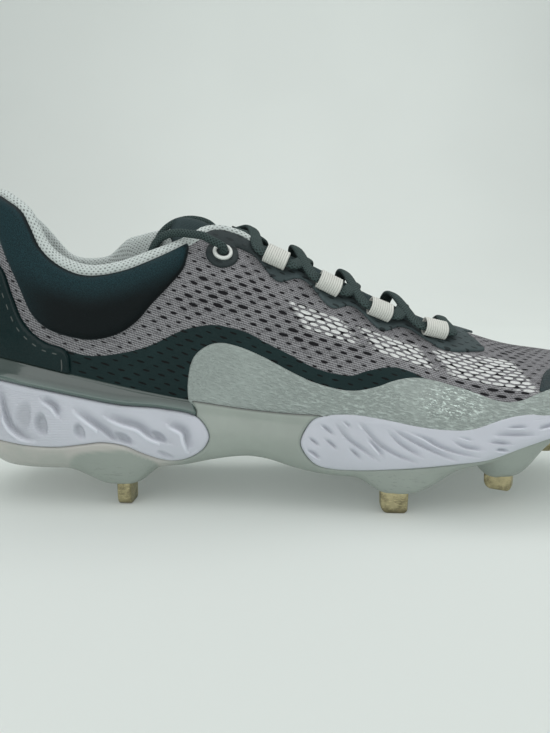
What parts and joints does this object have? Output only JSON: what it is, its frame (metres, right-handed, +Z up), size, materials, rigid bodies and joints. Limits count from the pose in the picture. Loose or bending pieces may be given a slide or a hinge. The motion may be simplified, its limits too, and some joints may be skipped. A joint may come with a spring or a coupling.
{
  "type": "baseball cleat",
  "caption": "Low right-foot baseball cleat with a mesh upper, padded ankle collar, webbing lace loops, split foam midsole and a moulded plate with metal studs.",
  "frame": {"origin": "on the floor under the middle of the shoe's outline", "axes": "+X towards the toe, +Y towards the inner side of the foot, +Z up"},
  "size_m": [0.2986, 0.099, 0.1288],
  "materials": {
    "knit_mesh": "matt heathered knit",
    "ankle_fabric": "smooth padded fabric",
    "lining_knit": "speckled knit",
    "counter_film": "glossy film",
    "side_film": "satin fused film",
    "toe_film": "satin fused film",
    "stay_film": "matt",
    "tongue_fabric": "matt padded fabric",
    "insole_foam": "matt",
    "midsole_foam": "satin moulded foam",
    "rand": "glossy",
    "plate": "satin moulded plate",
    "stud_metal": "worn nickel plate",
    "webbing": "ribbed tape",
    "eyelet": "satin",
    "lace": "braided"
  },
  "bodies": {
    "root": {"upper": "knit_mesh", "ankle_panel": "ankle_fabric", "collar_lining": "lining_knit", "heel_counter": "counter_film", "side_film": "side_film", "toe_cap": "toe_film", "lace_stay": "stay_film", "tongue": "tongue_fabric", "insole": "insole_foam", "heel_foam": "midsole_foam", "forefoot_foam": "midsole_foam", "heel_rand": "rand", "outsole_plate": "plate", "lace_crossings": "lace", "lace_end_lateral": "lace", "lace_end_medial": "lace", "eyelet_lateral": "eyelet", "eyelet_medial": "eyelet", "lace_loop_lateral_1": "webbing", "lace_loop_lateral_2": "webbing", "lace_loop_lateral_3": "webbing", "lace_loop_lateral_4": "webbing", "lace_loop_medial_1": "webbing", "lace_loop_medial_2": "webbing", "lace_loop_medial_3": "webbing", "lace_loop_medial_4": "webbing", "stud_heel_lateral": "stud_metal", "stud_heel_medial": "stud_metal", "stud_ball_lateral": "stud_metal", "stud_ball_medial": "stud_metal", "stud_toe_lateral": "stud_metal", "stud_toe_medial": "stud_metal", "stud_toe_middle": "stud_metal"}
  },
  "joints": []
}
